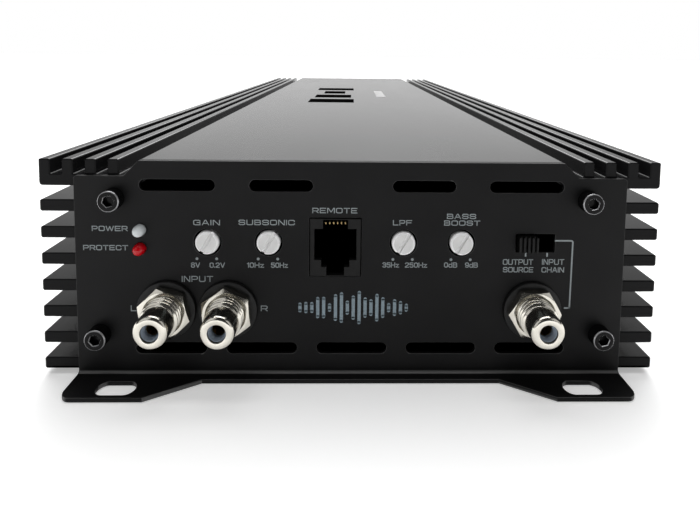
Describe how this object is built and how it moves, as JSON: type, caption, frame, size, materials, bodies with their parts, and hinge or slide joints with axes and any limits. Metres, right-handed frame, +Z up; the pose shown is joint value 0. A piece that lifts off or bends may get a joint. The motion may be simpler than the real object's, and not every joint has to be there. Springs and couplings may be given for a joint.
{
  "type": "car amplifier",
  "caption": "Long black finned heatsink amplifier with slotted feet, knobs, slide switch, phono and remote sockets at one end and wire terminals at the other.",
  "frame": {"origin": "centre of the footprint at the underside of the feet", "axes": "+X to the right as seen from the control end, +Y along the heatsink from the control end to the terminal end, +Z up"},
  "size_m": [0.16, 0.402, 0.057],
  "materials": {
    "case_paint": "satin black",
    "panel_paint": "fine matte black powder coat",
    "base_paint": "matte black",
    "black_screw": "black oxide",
    "dark_screw": "black zinc",
    "badge_metal": "brushed",
    "board_green": "solder mask",
    "zinc_screw": "zinc plated",
    "spacer_brass": "turned",
    "pot_plastic": "moulded",
    "knob_plastic": "moulded light grey",
    "black_plastic": "moulded",
    "contact_gold": "gold flashed",
    "nickel": "bright nickel",
    "liner_plastic": "moulded",
    "washer_fibre": "pressed fibre",
    "led_clear": "water clear epoxy",
    "led_red": "tinted epoxy",
    "chip_resin": "moulded epoxy",
    "ferrite": "sintered",
    "iron_powder": "painted",
    "copper": "enamelled copper",
    "can_sleeve": "shrink sleeve",
    "thermal_pad": "silicone",
    "bar_aluminium": "sawn"
  },
  "bodies": {
    "chassis": {"heatsink": "case_paint", "front_panel": "panel_paint", "rear_panel": "panel_paint", "base_plate": "base_paint", "end_panel_screws": "black_screw", "base_screws": "dark_screw", "top_badge": "badge_metal", "main_board": "board_green", "preamp_board": "board_green", "board_screws": "zinc_screw", "board_standoffs": "spacer_brass", "preamp_screws": "zinc_screw", "gain_pot_body": "pot_plastic", "subsonic_pot_body": "pot_plastic", "lowpass_pot_body": "pot_plastic", "bass_pot_body": "pot_plastic", "mode_switch_body": "black_plastic", "remote_jack_housing": "black_plastic", "remote_jack_contacts": "contact_gold", "left_input_shell": "nickel", "right_input_shell": "nickel", "link_shell": "nickel", "phono_bases": "black_plastic", "phono_insulators": "liner_plastic", "phono_contacts": "contact_gold", "phono_nuts": "nickel", "phono_washers": "washer_fibre", "power_led": "led_clear", "protect_led": "led_red", "preamp_chips": "chip_resin", "driver_chips": "chip_resin", "transformer_cores": "ferrite", "transformer_windings": "copper", "choke_cores": "iron_powder", "choke_windings": "copper", "rail_capacitors": "can_sleeve", "input_capacitors": "can_sleeve", "power_transistors": "chip_resin", "thermal_strips": "thermal_pad", "clamp_bars": "bar_aluminium", "clamp_screws": "zinc_screw", "supply_block": "black_plastic", "speaker_block": "black_plastic", "supply_terminals": "nickel", "speaker_terminals": "nickel", "terminal_straps": "copper", "terminal_screws": "dark_screw"},
    "gain_control": {"gain_knob": "knob_plastic"},
    "subsonic_control": {"subsonic_knob": "knob_plastic"},
    "lowpass_control": {"lowpass_knob": "knob_plastic"},
    "bass_control": {"bass_knob": "knob_plastic"},
    "mode_control": {"mode_slider": "black_plastic"}
  },
  "joints": [
    {"name": "gain_turn", "type": "hinge", "parent": "chassis", "child": "gain_control", "pos_m": [-0.0371, -0.1912, 0.0359], "axis": [0, 1, 0], "range_deg": [0, 300]},
    {"name": "subsonic_turn", "type": "hinge", "parent": "chassis", "child": "subsonic_control", "pos_m": [-0.0215, -0.1912, 0.0359], "axis": [0, 1, 0], "range_deg": [0, 300]},
    {"name": "lowpass_turn", "type": "hinge", "parent": "chassis", "child": "lowpass_control", "pos_m": [0.0131, -0.1912, 0.0359], "axis": [0, 1, 0], "range_deg": [0, 300]},
    {"name": "bass_turn", "type": "hinge", "parent": "chassis", "child": "bass_control", "pos_m": [0.0281, -0.1912, 0.0359], "axis": [0, 1, 0], "range_deg": [0, 300]},
    {"name": "mode_slide", "type": "slide", "parent": "chassis", "child": "mode_control", "axis": [1, 0, 0], "range_m": [0, 0.0044]}
  ]
}
